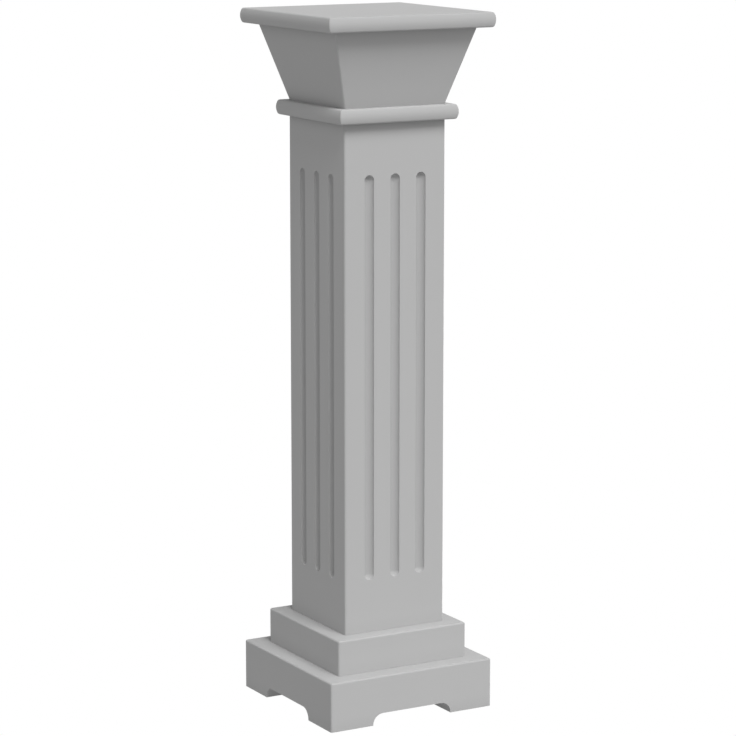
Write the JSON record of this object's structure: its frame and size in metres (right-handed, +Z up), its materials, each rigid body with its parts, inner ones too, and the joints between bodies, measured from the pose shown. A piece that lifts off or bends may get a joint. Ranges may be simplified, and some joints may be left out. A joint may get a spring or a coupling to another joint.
{
  "type": "column plant stand",
  "caption": "Tall square stand in the form of a column: fluted shaft on a stepped foot, with a collar, a flared capital and a flat round-edged top that carries a plant pot.",
  "frame": {"origin": "centre of the square footprint, on the surface that the feet stand on", "axes": "+Z up along the shaft; X and Y square to the faces, which are all alike. The picture shows the -Y face on its right and the -X face on its left"},
  "size_m": [0.2416, 0.2416, 0.9137],
  "materials": {
    "painted_wood": "smooth light grey paint, matte to satin"
  },
  "bodies": {
    "root": {"plinth": "painted_wood", "base_step": "painted_wood", "shaft": "painted_wood", "collar": "painted_wood", "capital": "painted_wood", "top_slab": "painted_wood"}
  },
  "joints": []
}
